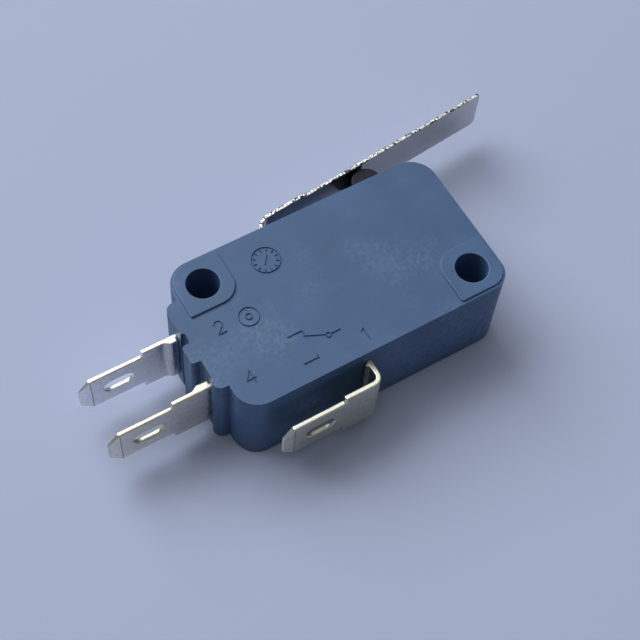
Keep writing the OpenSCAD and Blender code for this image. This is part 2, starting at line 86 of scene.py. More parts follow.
class Signal:
    """A shader socket that takes part in Python arithmetic.

    Args:
        shader: The shader that the socket belongs to.
        socket: The output socket to wrap.
    """

    def __init__(self, shader: Shader, socket: bpy.types.NodeSocket) -> None:
        self.shader = shader
        self.socket = socket

    def _math(self, operation: str, *values: Operand) -> Signal:
        """Adds a Math node.

        Args:
            operation: The Math node's operation.
            values: Its inputs, in order.

        Returns:
            The node's result.
        """
        return self.shader.add("Math", {"operation": operation}, dict(enumerate(values)))

    def __add__(self, other: Operand) -> Signal:
        """Adds two signals."""
        return self._math("ADD", self, other)

    __radd__ = __add__

    def __sub__(self, other: Operand) -> Signal:
        """Takes a value from the signal."""
        return self._math("SUBTRACT", self, other)

    def __rsub__(self, other: Operand) -> Signal:
        """Takes the signal from a value."""
        return self._math("SUBTRACT", other, self)

    def __mul__(self, other: Operand) -> Signal:
        """Multiplies two signals."""
        return self._math("MULTIPLY", self, other)

    __rmul__ = __mul__

    def above(self, low: float, high: float) -> Signal:
        """Rises smoothly from 0 to 1 between two levels.

        Args:
            low: The level below which the result is 0.
            high: The level above which the result is 1.

        Returns:
            The smoothed mask.
        """
        inputs = {"Value": self, "From Min": low, "From Max": high}
        return self.shader.add("MapRange", {"interpolation_type": "SMOOTHSTEP"}, inputs)


Operand = Union[Number, Signal]
Settings = Mapping[str, Any]


class Shader:
    """A material's node tree, with one method that adds any node.

    Args:
        name: The material's name.
    """

    def __init__(self, name: str) -> None:
        self.material = bpy.data.materials.new(name)
        self.material.use_nodes = True
        self.tree = self.material.node_tree
        self.tree.nodes.clear()

    def add(self, kind: str, settings: Settings, inputs: Mapping[Any, Any], output: Any = 0) -> Signal:
        """Adds a node, sets it and feeds its sockets.

        Args:
            kind: The node's type, without its ShaderNode prefix.
            settings: The node's own properties.
            inputs: Values or signals for its sockets, by name or by place.
            output: Name or place of the output that is returned.

        Returns:
            The chosen output.
        """
        node = self.tree.nodes.new("ShaderNode" + kind)
        for key, value in settings.items():
            setattr(node, key, value)
        for key, value in inputs.items():
            if isinstance(value, Signal):
                self.tree.links.new(value.socket, node.inputs[key])
            else:
                node.inputs[key].default_value = value
        return Signal(self, node.outputs[output])

    def place(self, stretch: tuple[float, float, float] = (1, 1, 1)) -> Signal:
        """Gives the piece's own coordinates, in millimetres.

        Args:
            stretch: Scale along each axis; a low number draws a pattern out.

        Returns:
            The coordinates as a vector.
        """
        own = self.add("TexCoord", {}, {}, "Object")
        scale = tuple(s / MM for s in stretch)
        return self.add("Mapping", {"vector_type": "POINT"}, {"Vector": own, "Scale": scale})

    def noise(self, scale: float, detail: float = 2,
              stretch: tuple[float, float, float] = (1, 1, 1)) -> Signal:
        """Gives a noise pattern.

        Args:
            scale: Features per millimetre.
            detail: Number of finer layers.
            stretch: Scale along each axis.

        Returns:
            The noise, about 0.5 on average.
        """
        inputs = {"Vector": self.place(stretch), "Scale": scale, "Detail": detail}
        return self.add("TexNoise", {"noise_dimensions": "3D"}, inputs, "Fac")

    def attribute(self, name: str) -> Signal:
        """Reads a number that the mesh carries.

        Args:
            name: The attribute's name.

        Returns:
            Its value.
        """
        return self.add("Attribute", {"attribute_name": name}, {}, "Fac")

    def mix(self, factor: Operand, a: Any, b: Any) -> Signal:
        """Mixes two colours.

        Args:
            factor: 0 for the first, 1 for the second.
            a: First colour, or a signal.
            b: Second colour, or a signal.

        Returns:
            The mixed colour.
        """
        first = a if isinstance(a, Signal) else (*a, 1.0)
        second = b if isinstance(b, Signal) else (*b, 1.0)
        inputs = {0: factor, 6: first, 7: second}
        return self.add("Mix", {"data_type": "RGBA", "clamp_factor": True}, inputs, 2)

    def bump(self, height: Signal, depth: float, below: Signal | None = None) -> Signal:
        """Turns a height into a normal.

        Args:
            height: The height, from 0 to 1.
            depth: Depth of the relief, in millimetres.
            below: A normal from another layer of relief.

        Returns:
            The normal.
        """
        inputs = {"Height": height, "Distance": depth * MM, "Strength": 1.0}
        if below is not None:
            inputs["Normal"] = below
        return self.add("Bump", {}, inputs)

    def finish(self, sockets: Mapping[str, Any]) -> bpy.types.Material:
        """Closes the tree with a principled surface.

        Args:
            sockets: Values or signals for the surface's sockets.

        Returns:
            The material.
        """
        surface = self.add("BsdfPrincipled", {}, sockets)
        out = self.tree.nodes.new("ShaderNodeOutputMaterial")
        self.tree.links.new(surface.socket, out.inputs["Surface"])
        return self.material


# Finishes ----------------------------------------------------------------------------------------


@dataclass(frozen=True)
class MouldedPlastic:
    """A satin moulded thermoplastic with a fine spark-eroded texture.

    Attributes:
        name: The material's name.
        colour: Its colour, linear.
        worn: Colour of its rubbed edges.
        roughness: Mean roughness.
        grain: Depth of the texture, in millimetres.
        handled: How much its handled patches are paler and glossier.
        gloss: Strength of its highlights.
    """

    name: str
    colour: Colour
    worn: Colour
    roughness: float = 0.5
    grain: float = 0.012
    handled: float = 0.55
    gloss: float = 0.45

    def material(self) -> bpy.types.Material:
        """Builds the material.

        Returns:
            The material.
        """
        s = Shader(self.name)
        cloud = s.noise(0.16, 3)
        speck = s.noise(9.0, 2)
        flow = s.noise(0.5, 3, (0.35, 1.4, 1))
        tone = cloud.above(0.25, 0.8) * 0.5 + flow * 0.35 + speck * 0.25
        dark = tuple(0.74 * c for c in self.colour)
        pale = tuple(1.24 * c for c in self.colour)
        body = s.mix(tone, dark, pale)
        patch = s.noise(0.11, 2).above(0.46, 0.62) * s.noise(2.2, 4).above(0.35, 0.65)
        handled = s.mix(patch * self.handled, body, self.worn)
        rubbed = s.attribute("edge") * s.noise(1.1, 2).above(0.2, 0.6) * 0.75
        colour = s.mix(rubbed, handled, self.worn)
        rough = speck * 0.16 + cloud * 0.12 - patch * 0.1 + (self.roughness - 0.14)
        warp = s.bump(s.noise(0.13, 1), 0.09)
        fine = s.bump(s.noise(11.0, 3), self.grain, warp)
        return s.finish({
            "Base Color": colour,
            "Roughness": rough,
            "Normal": fine,
            "Specular IOR Level": self.gloss,
        })


class Rolling(Enum):
    """Direction in which a strip was rolled, as the stretch of its grain."""

    ALONG_X = (0.05, 1.0, 1.0)
    ALONG_Z = (1.0, 1.0, 0.05)


@dataclass(frozen=True)
class RolledStrip:
    """Rolled and plated strip: fine lines along its length, a few scratches, sheared edges whose colour is
    partly a painted highlight, and painted shade on their burrs and along the creases.

    Attributes:
        name: The material's name.
        colour: Its colour, linear.
        tarnish: Colour of its duller patches; a tenth of it is the colour of the painted shade on creases
            and burrs.
        edge: Colour of the sheared and coined edges, partly their bare metal and partly a painted highlight.
        rolling: Direction of the rolling lines.
        roughness: Mean roughness.
        burr: How ragged the sheared edges are, from 0 to 1, and how much of them is painted dark as painted
            shade.
    """

    name: str
    colour: Colour
    tarnish: Colour
    edge: Colour
    rolling: Rolling
    roughness: float = 0.3
    burr: float = 0.3

    def material(self) -> bpy.types.Material:
        """Builds the material.

        Returns:
            The material.
        """
        s = Shader(self.name)
        lines = s.noise(14.0, 3, self.rolling.value)
        cloud = s.noise(0.35, 3)
        spots = s.noise(2.6, 4).above(0.58, 0.75)
        dull = cloud.above(0.35, 0.75) * 0.5 + spots * 0.3 + lines * 0.15
        plate = s.mix(dull, self.colour, self.tarnish)
        rim = s.attribute("edge")
        torn = s.noise(3.2, 3).above(0.5, 0.6) * self.burr
        # The marked edges take the edge colour, partly their bare metal and partly a painted highlight,
        # except where the burr is torn.
        colour = s.mix(rim * (1 - torn) * 0.9, plate, self.edge)
        # Painted shade: near-black along the creases and on the torn flecks of the edges.
        crease_and_burr_painted_shade = (rim * torn + s.attribute("crease") * 0.7) * 0.95
        colour_with_painted_shade = s.mix(crease_and_burr_painted_shade, colour, tuple(0.1 * c for c in self.tarnish))
        rough = (lines - 0.5) * 0.1 + cloud * 0.12 + spots * 0.08 + rim * 0.14 + (self.roughness - 0.08)
        brushed = s.bump(lines, 0.002)
        scratched = s.bump(s.noise(1.5, 5, (0.4, 1.0, 1.0)), 0.004, brushed)
        ragged = s.bump(rim * s.noise(4.5, 2), 0.1 * self.burr, scratched)
        return s.finish({
            "Base Color": colour_with_painted_shade,
            "Roughness": rough,
            "Metallic": 1.0,
            "Normal": ragged,
        })


@dataclass(frozen=True)
class DrawnWire:
    """Drawn spring wire with faint die lines.

    Attributes:
        name: The material's name.
        colour: Its colour, linear.
        roughness: Mean roughness.
    """

    name: str
    colour: Colour
    roughness: float = 0.32

    def material(self) -> bpy.types.Material:
        """Builds the material.

        Returns:
            The material.
        """
        s = Shader(self.name)
        oil = s.noise(1.2, 3)
        drag = s.noise(18.0, 2, (1.0, 0.3, 0.3))
        colour = s.mix(oil, tuple(0.7 * c for c in self.colour), self.colour)
        return s.finish({
            "Base Color": colour,
            "Roughness": drag * 0.2 + (self.roughness - 0.1),
            "Metallic": 1.0,
            "Normal": s.bump(drag, 0.003),
        })


@dataclass(frozen=True)
class Tabletop:
    """The pale matt surface that the switch lies on.

    Attributes:
        name: The material's name.
        colour: Its colour, linear.
    """

    name: str
    colour: Colour

    def material(self) -> bpy.types.Material:
        """Builds the material.

        Returns:
            The material.
        """
        s = Shader(self.name)
        shade = s.mix(s.noise(0.02, 2), tuple(0.97 * c for c in self.colour), self.colour)
        return s.finish({"Base Color": shade, "Roughness": 0.85, "Specular IOR Level": 0.1})


# Mesh work ---------------------------------------------------------------------------------------


SHARP = math.radians(32)  # bends steeper than this are edges
CREASE = math.radians(4)  # bends shallower than this are part of a face
WIDE = 1.5 * MM * MM  # faces smaller than this belong to a curve


def shallow(edge: Edge) -> bool:
    """Tells whether an edge is a shallow crease between two wide faces.

    Args:
        edge: The edge.

    Returns:
        Whether it is one.
    """
    return edge.calc_face_angle(0.0) > CREASE and all(f.calc_area() > WIDE for f in edge.link_faces)


@dataclass(frozen=True)
class Rounding:
    """A rounding for the edges that a rule picks.

    Attributes:
        width: Width of the rounding, in millimetres.
        picks: Tells whether the rounding takes an edge.
        steps: Number of strips across it.
        mark: Name of the face attribute that its faces carry.
        held: Whether short edges hold its width back.
    """

    width: float
    picks: Callable[[Edge], bool] = lambda edge: edge.calc_face_angle(0.0) > SHARP
    steps: int = 2
    mark: str = "edge"
    held: bool = True


class MeshShop:
    """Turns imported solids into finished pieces."""

    SMOOTH = math.radians(40)
    MERGED = 0.0005 * MM
    FLAT = math.radians(0.6)
    # Faces whose normal leans this far up or down count as sheared edges and take the edge colour, partly a
    # painted highlight.
    SHEAR_CUT = 0.55
    SHEAR_STEPS = 3
    # Width of the crease strips, along which the strip material paints a dark line of shade.
    CREASE_WIDTH = 0.05
    SHADING_WEIGHT = 80

    def __init__(self, frame: Mapping[str, Any]) -> None:
        """Keeps the frame.
        """
        self.nodes = frame["nodes"]

    def merged(self, node: str) -> bmesh.types.BMesh:
        """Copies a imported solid, with its doubled points merged and its flat faces joined.

        Args:
            node: The solid's name.

        Returns:
            The copy.
        """
        mesh = bmesh.new()
        mesh.from_mesh(self.nodes[node].data)
        bmesh.ops.remove_doubles(mesh, verts=mesh.verts, dist=self.MERGED)
        bmesh.ops.dissolve_limit(mesh, angle_limit=self.FLAT, verts=mesh.verts, edges=mesh.edges)
        return mesh

    def rounded(self, node: str, roundings: Sequence[Rounding]) -> bmesh.types.BMesh:
        """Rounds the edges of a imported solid's copy, and marks the rounded faces.

        Args:
            node: The solid's name.
            roundings: The roundings; each edge takes the first that picks it.

        Returns:
            The rounded copy, whose rounded faces carry 1 in the attribute that the rounding names.
        """
        mesh = self.merged(node)
        marks = {name: mesh.faces.layers.float.new(name) for name in ("edge", "crease")}
        for rounding in roundings:
            chosen = [
                e for e in mesh.edges if e.is_manifold and rounding.picks(e)
                and not any(f[mark] for f in e.link_faces for mark in marks.values())]
            if not chosen:
                continue
            made = bmesh.ops.bevel(
                mesh, geom=chosen, offset=rounding.width * MM, offset_type="OFFSET",
                segments=rounding.steps, profile=0.5, affect="EDGES", clamp_overlap=rounding.held)
            for face in made["faces"]:
                face[marks[rounding.mark]] = 1.0
        low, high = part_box(node)
        for vert in mesh.verts:
            vert.co = [min(max(c, a), b) for c, a, b in zip(vert.co, low, high)]
        return mesh

    def sheared(self, node: str, width: float) -> bmesh.types.BMesh:
        """Dresses a strip's copy: rounded edges, creases, and marks on the edges that shears cut.

        Args:
            node: The solid's name.
            width: Width of its rounded edges, in millimetres.

        Returns:
            The copy.
        """
        # The crease strips carry the crease mark, painted dark as shade; the sheared edges carry the edge
        # mark, partly a painted highlight.
        mesh = self.rounded(node, [
            Rounding(width, steps=self.SHEAR_STEPS, held=False),
            Rounding(self.CREASE_WIDTH, shallow, 1, "crease"),
        ])
        mark = mesh.faces.layers.float["edge"]
        for face in mesh.faces:
            if abs(face.normal.z) > self.SHEAR_CUT:
                face[mark] = 1.0
        return mesh

    def piece(self, name: str, mesh: bmesh.types.BMesh, material: bpy.types.Material,
              creased: bool = False) -> bpy.types.Object:
        """Makes an object of a mesh, shaded smooth but for its sharp edges and creases.

        Args:
            name: The piece's name.
            mesh: Its mesh, which is used up.
            material: Its finish.
            creased: Whether its shallow creases are crisp.

        Returns:
            The piece.
        """
        for edge in mesh.edges:
            angle = edge.calc_face_angle(math.pi)
            edge.smooth = angle < self.SMOOTH and not (creased and shallow(edge))
        for face in mesh.faces:
            face.smooth = True
        data = bpy.data.meshes.new(name)
        mesh.to_mesh(data)
        mesh.free()
        data.materials.append(material)
        piece = bpy.data.objects.new(name, data)
        bpy.context.scene.collection.objects.link(piece)
        weighted = piece.modifiers.new("even shading", "WEIGHTED_NORMAL")
        weighted.keep_sharp = True
        weighted.weight = self.SHADING_WEIGHT
        return piece


def baked(piece: bpy.types.Object) -> None:
    """Replaces a piece's mesh by the result of its modifiers, and removes them.

    Args:
        piece: The piece.
    """
    graph = bpy.context.evaluated_depsgraph_get()
    mesh = bpy.data.meshes.new_from_object(piece.evaluated_get(graph), depsgraph=graph)
    piece.modifiers.clear()
    piece.data = mesh


# Geometry Nodes ----------------------------------------------------------------------------------


class SweptBar:
    """A Geometry Nodes tree that sweeps a round or flattened bar along a path's curve."""

    def __init__(self, name: str, sides: int) -> None:
        """Builds the tree.

        Args:
            name: The tree's name.
            sides: Number of sides of the bar's section.
        """
        self.tree = bpy.data.node_groups.new(name, "GeometryNodeTree")
        self.inputs: dict[str, str] = {}
        self._socket("Path", "NodeSocketGeometry")
        self._socket("Thickness", "NodeSocketFloat")
        self._socket("Width", "NodeSocketFloat")
        self._socket("Finish", "NodeSocketMaterial")
        self.tree.interface.new_socket("Bar", in_out="OUTPUT", socket_type="NodeSocketGeometry")
        source = self._add("NodeGroupInput", {})
        circle = self._add("GeometryNodeCurvePrimitiveCircle", {"Resolution": sides, "Radius": 0.5})
        shape = self._add("ShaderNodeCombineXYZ", {
            "X": (source, "Thickness"), "Y": (source, "Width"), "Z": 1.0})
        section = self._add("GeometryNodeTransform", {"Geometry": (circle, 0), "Scale": (shape, 0)})
        bar = self._add("GeometryNodeCurveToMesh", {
            "Curve": (source, "Path"), "Profile Curve": (section, 0), "Fill Caps": True})
        smooth = self._add("GeometryNodeSetShadeSmooth", {"Geometry": (bar, 0)})
        real = self._add("GeometryNodeRealizeInstances", {"Geometry": (smooth, 0)})
        dressed = self._add("GeometryNodeSetMaterial", {
            "Geometry": (real, 0), "Material": (source, "Finish")})
        self._add("NodeGroupOutput", {0: (dressed, 0)})

    def _socket(self, name: str, kind: str) -> None:
        """Adds a named input and notes its identifier.

        Args:
            name: The input's name.
            kind: Its socket type.
        """
        socket = self.tree.interface.new_socket(name, in_out="INPUT", socket_type=kind)
        self.inputs[name] = socket.identifier

    def _add(self, kind: str, inputs: Mapping[Any, Any]) -> bpy.types.Node:
        """Adds a node and feeds its sockets.

        Args:
            kind: The node's type.
            inputs: Values, or (node, output) pairs, by name or place.

        Returns:
            The node.
        """
        node = self.tree.nodes.new(kind)
        for key, value in inputs.items():
            if isinstance(value, tuple) and isinstance(value[0], bpy.types.Node):
                self.tree.links.new(value[0].outputs[value[1]], node.inputs[key])
            else:
                node.inputs[key].default_value = value
        return node

    def sweep(self, name: str, paths: Sequence[Path], thickness: float, width: float,
              finish: bpy.types.Material) -> bpy.types.Object:
        """Sweeps the bar along paths.

        Args:
            name: The piece's name.
            paths: The paths, in millimetres.
            thickness: Thickness of the bar, upright on a level path, in millimetres.
            width: Width of the bar, in millimetres.
            finish: Its material.

        Returns:
            The piece, as a plain mesh.
        """
        curve = bpy.data.curves.new(name + "_path", "CURVE")
        curve.dimensions = "3D"
        for path in paths:
            spline = curve.splines.new("POLY")
            spline.points.add(len(path.points) - 1)
            for point, place in zip(spline.points, path.points):
                point.co = (*(MM * Vector(place)), 1.0)
            spline.use_cyclic_u = path.closed
        guide = bpy.data.objects.new(name + "_path", curve)
        bpy.context.scene.collection.objects.link(guide)
        modifier = guide.modifiers.new("sweep", "NODES")
        modifier.node_group = self.tree
        modifier[self.inputs["Thickness"]] = thickness * MM
        modifier[self.inputs["Width"]] = width * MM
        modifier[self.inputs["Finish"]] = finish
        graph = bpy.context.evaluated_depsgraph_get()
        mesh = bpy.data.meshes.new_from_object(guide.evaluated_get(graph), depsgraph=graph)
        bpy.data.objects.remove(guide)
        mesh.name = name
        piece = bpy.data.objects.new(name, mesh)
        bpy.context.scene.collection.objects.link(piece)
        return piece


@dataclass(frozen=True)
class Path:
    """A path through points.

    Attributes:
        points: The points, in millimetres.
        closed: Whether it returns to its start.
    """

    points: Sequence[tuple[float, float, float]]
    closed: bool = False

    @staticmethod
    def ring(centre: tuple[float, float, float], radius: float, steps: int = 24) -> Path:
        """Makes a level circle.

        Args:
            centre: Its middle.
            radius: Its radius.
            steps: Number of points.

        Returns:
            The closed path.
        """
        x, y, z = centre
        turns = [2 * math.pi * i / steps for i in range(steps)]
        return Path([(x + radius * math.cos(a), y + radius * math.sin(a), z) for a in turns], True)


# The switch --------------------------------------------------------------------------------------


@dataclass
class Housing:
    """The case and the cover, with the relief marks on their faces.

    Attributes:
        shop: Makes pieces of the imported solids.
        step: Distance of each face below its raised pads.
        brim: Width of the rounding round a face.
        rim: Width of the rounding round the pads.
        seam: Width of the rounding where the halves meet.
        rest: Width of every other rounding.
        steps: Number of strips across the roundings of a face and its pads.
        slack: How far from a level an edge may lie and still be on it.
    """

    shop: MeshShop
    step: float = 0.25
    brim: float = 0.2
    rim: float = 0.12
    seam: float = 0.05
    rest: float = 0.1
    steps: int = 3
    slack: float = 0.02

    def _at(self, level: float) -> Callable[[Edge], bool]:
        """Makes a rule that picks the sharp edges lying on one level.

        Args:
            level: The level, in millimetres.

        Returns:
            The rule.
        """
        return lambda edge: edge.calc_face_angle(0.0) > SHARP and all(
            abs(v.co.z / MM - level) < self.slack for v in edge.verts)

    def _half(self, node: str, pads: float, face: float, joint: float) -> bmesh.types.BMesh:
        """Rounds the edges of one half of the housing.

        Args:
            node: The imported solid.
            pads: Level of its raised pads.
            face: Level of its face.
            joint: Level where the halves meet.

        Returns:
            The rounded copy.
        """
        return self.shop.rounded(node, [
            Rounding(self.brim, self._at(face), self.steps),
            Rounding(self.rim, self._at(pads), self.steps),
            Rounding(self.seam, self._at(joint), 1),
            Rounding(self.rest),
        ])

    def build(self) -> None:
        """Builds the case, the cover and the marks."""
        low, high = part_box("case")
        base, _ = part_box("cover")
        top, joint, bottom = high.z / MM, low.z / MM, base.z / MM
        upper = MouldedPlastic("slate_blue_moulding", (0.051, 0.112, 0.24), (0.095, 0.176, 0.32)).material()
        lower = MouldedPlastic("slate_blue_cover", (0.048, 0.105, 0.225), (0.088, 0.165, 0.3)).material()
        self._finish("case_shell", self._half("case", top, top - self.step, joint), upper, "case")
        # The raised marks take a plastic about a tenth darker than the case's, as painted shade on their
        # lines.
        relief = MouldedPlastic("slate_blue_relief_painted_shade", (0.046, 0.101, 0.216), (0.08, 0.15, 0.28)).material()
        FaceMarks(depth=self.step).build(relief)
        self._finish("cover_shell", self._half("cover", bottom, bottom + self.step, joint), lower, "cover")

    def _finish(self, name: str, mesh: bmesh.types.BMesh, material: bpy.types.Material, node: str) -> None:
        """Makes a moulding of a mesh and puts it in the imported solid's place.

        Args:
            name: The piece's name.
            mesh: The mesh.
            material: The finish.
            node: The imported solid.
        """
        piece = self.shop.piece(name, mesh, material)
        baked(piece)
        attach(piece, "housing")
        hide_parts(node)
        LOG.info("%s: %d faces", name, len(piece.data.polygons))


@dataclass
class FaceMarks:
    """Low relief: a gate ring, a date wheel, the contact diagram and numbers, and ejector rings.

    Attributes:
        width: Width of each raised line.
        height: Full height of a line, half of which stands above the face.
        depth: Distance of each face below its raised pads.
        gate: Middle of the gate ring.
        gate_radii: Radii of the gate ring and of its stub.
        wheel: Middle of the date wheel.
        wheel_radii: Radii of the wheel's ring and of its ticks' two ends.
        diagram: Lower left corner of the contact diagram.
        numbers: Each terminal's number and the number's middle.
        ejector: Radius of the rings that the ejector pins leave on the cover.
        ejectors: Their middles.
    """

    width: float = 0.3
    height: float = 0.08
    depth: float = 0.25
    gate: tuple[float, float] = (-9.1, 0.3)
    gate_radii: tuple[float, float] = (0.95, 0.3)
    wheel: tuple[float, float] = (-4.9, 4.7)
    wheel_radii: tuple[float, float, float] = (1.35, 0.95, 1.2)
    diagram: tuple[float, float] = (-7.2, -6.3)
    numbers: Sequence[tuple[int, float, float]] = ((2, -11.9, 0.6), (4, -11.9, -5.0), (1, -0.9, -6.2))
    ejector: float = 1.1
    ejectors: Sequence[tuple[float, float]] = (
        (-7.5, -4.0), (-2.5, 4.2), (3.5, -4.2), (8.5, 4.0), (0.5, 0.0))

    DIGITS = {
        1: [(-0.22, 0.38), (0.08, 0.65), (0.08, -0.65)],
        2: [(-0.4, 0.36), (-0.24, 0.6), (0.04, 0.66), (0.3, 0.56), (0.38, 0.3), (0.26, 0.02),
            (-0.42, -0.65), (0.42, -0.65)],
        4: [(0.2, -0.65), (0.2, 0.65), (-0.44, -0.24), (0.46, -0.24)],
    }

    def build(self, finish: bpy.types.Material) -> None:
        """Builds the marks of the case and of the cover.

        Args:
            finish: Their material, darker than the case's plastic as painted shade on the raised lines.
        """
        _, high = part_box("case")
        level = high.z / MM - self.depth
        paths = self._gate(level) + self._wheel(level) + self._diagram(level)
        for number, x, y in self.numbers:
            paths.append(Path([(x + a, y + b, level) for a, b in self.DIGITS[number]]))
        low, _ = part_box("cover")
        under = [Path.ring((x, y, low.z / MM + self.depth), self.ejector) for x, y in self.ejectors]
        bar = SweptBar("raised_line", 8)
        for name, lines in (("case_marks", paths), ("cover_marks", under)):
            marks = bar.sweep(name, lines, self.height, self.width, finish)
            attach(marks, "housing")
            LOG.info("%s: %d faces", name, len(marks.data.polygons))

    def _gate(self, level: float) -> list[Path]:
        """Draws the ring and the stub that the moulding gate leaves.

        Args:
            level: Height of the face.

        Returns:
            The paths.
        """
        middle = (*self.gate, level)
        ring, stub = self.gate_radii
        return [Path.ring(middle, ring), Path.ring(middle, stub, 12)]

    def _wheel(self, level: float) -> list[Path]:
        """Draws the date wheel: a ring, twelve ticks and an arrow.

        Args:
            level: Height of the face.

        Returns:
            The paths.
        """
        x, y = self.wheel
        ring, *ticks = self.wheel_radii
        paths = [Path.ring((x, y, level), ring, 32)]
        for month in range(12):
            a = math.radians(30 * month)
            paths.append(Path([(x + r * math.cos(a), y + r * math.sin(a), level) for r in ticks]))
        paths.append(Path([(x - 0.3, y - 0.4, level), (x + 0.35, y + 0.5, level)]))
        return paths

    def _diagram(self, level: float) -> list[Path]:
        """Draws the changeover contact: a hinged arm between two fixed contacts.

        Args:
            level: Height of the face.

        Returns:
            The paths.
        """
        lines = [
            [(4.6, 1.6), (3.6, 1.6)],
            [(3.1, 1.75), (1.35, 2.55)],
            [(1.5, 3.1), (1.5, 2.75)], [(0.0, 3.1), (1.5, 3.1)],
            [(1.5, 0.1), (1.5, 0.5)], [(0.0, 0.1), (1.5, 0.1)],
        ]
        x, y = self.diagram
        paths = [Path([(x + a, y + b, level) for a, b in line]) for line in lines]
        return paths + [Path.ring((x + 3.35, y + 1.6, level), 0.25, 12)]


@dataclass
class MetalParts:
    """The blades, the lever and the inner sheet pieces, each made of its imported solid.

    Attributes:
        shop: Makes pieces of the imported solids.
        com_edge: Width of the common blade's rounded edges; a wider one meets the operating strip.
        tab_edge: The same for the two end blades.
        lever_edge: The same for the lever.
        contact_edge: The same for the contacts.
        arm_edge: The same for the contact arm.
        operating_edge: The same for the operating strip.
    """

    shop: MeshShop
    com_edge: float = 0.13
    tab_edge: float = 0.16
    lever_edge: float = 0.07
    contact_edge: float = 0.06
    arm_edge: float = 0.04
    operating_edge: float = 0.05

    def build(self) -> None:
        """Builds every metal piece but the spring."""
        # The three blades share one tin plating: the NC copy is paler and more neutral as painted light, and
        # the COM copy is darker as painted shade, its olive tint the metal's own.
        bright = RolledStrip("painted_lit_tinned_blade", (0.92, 0.92, 0.94), (0.76, 0.76, 0.78), (0.9, 0.9, 0.88),
                             Rolling.ALONG_X, 0.27, 0.12).material()
        blade = RolledStrip("tinned_blade", (0.92, 0.88, 0.8), (0.74, 0.7, 0.62), (0.7, 0.68, 0.58),
                            Rolling.ALONG_X, 0.3, 0.15).material()
        painted_shade_blade = RolledStrip("painted_shade_tinned_blade", (0.69, 0.67, 0.56), (0.53, 0.51, 0.41), (0.76, 0.77, 0.66),
                           Rolling.ALONG_X, 0.3, 0.1).material()
        # The lever's edge colour, far paler than its face, is mostly a painted highlight, broken by painted
        # shade at full burr.
        lever = RolledStrip("rolled_lever_steel", (0.56, 0.56, 0.57), (0.45, 0.45, 0.46), (0.95, 0.95, 0.9),
                            Rolling.ALONG_X, 0.2, 1.0).material()
        bronze = RolledStrip("spring_bronze", (0.72, 0.45, 0.22), (0.5, 0.3, 0.15), (0.8, 0.55, 0.3),
                             Rolling.ALONG_X, 0.28).material()
        silver = RolledStrip("silver_contact", (0.88, 0.87, 0.83), (0.66, 0.63, 0.56), (0.93, 0.93, 0.9),
                             Rolling.ALONG_Z, 0.22, 0.1).material()
        steel = RolledStrip("inner_steel_strip", (0.58, 0.58, 0.58), (0.42, 0.42, 0.42), (0.75, 0.75, 0.75),
                            Rolling.ALONG_Z, 0.3).material()
        plan = [
            ("com_terminal", "com_blade", "housing", painted_shade_blade, self.com_edge),
            ("nc_terminal", "nc_blade", "housing", bright, self.tab_edge),
            ("no_terminal", "no_blade", "housing", blade, self.tab_edge),
            ("actuator_lever", "lever_strip", "actuator", lever, self.lever_edge),
            ("nc_contact", "nc_contact_rivet", "housing", silver, self.contact_edge),
            ("no_contact", "no_contact_rivet", "housing", silver, self.contact_edge),
            ("moving_contact", "moving_contact_rivet", "arm", silver, self.contact_edge),
            ("contact_arm", "contact_arm_strip", "arm", bronze, self.arm_edge),
            ("operating_lever", "operating_strip", "operator", steel, self.operating_edge),
        ]
        for node, name, body, finish, width in plan:
            flat = finish is not silver
            mesh = self.shop.sheared(node, width) if flat else self.shop.rounded(node, [Rounding(width)])
            piece = self.shop.piece(name, mesh, finish, creased=flat)
            baked(piece)
            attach(piece, body)
            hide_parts(node)
            LOG.info("%s: %d faces", name, len(piece.data.polygons))


@dataclass
class Button:
    """The plunger.

    Attributes:
        shop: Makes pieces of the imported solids.
        edge: Width of its rounded edges.
    """

    shop: MeshShop
    edge: float = 0.12

    def build(self) -> None:
        """Builds the plunger."""
        black = MouldedPlastic("black_acetal", (0.005, 0.008, 0.014), (0.016, 0.023, 0.036),
                               0.55, 0.006, gloss=0.28).material()
        piece = self.shop.piece("plunger_button", self.shop.rounded("plunger", [Rounding(self.edge)]), black)
        baked(piece)
        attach(piece, "button")
        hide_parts("plunger")
        LOG.info("plunger_button: %d faces", len(piece.data.polygons))


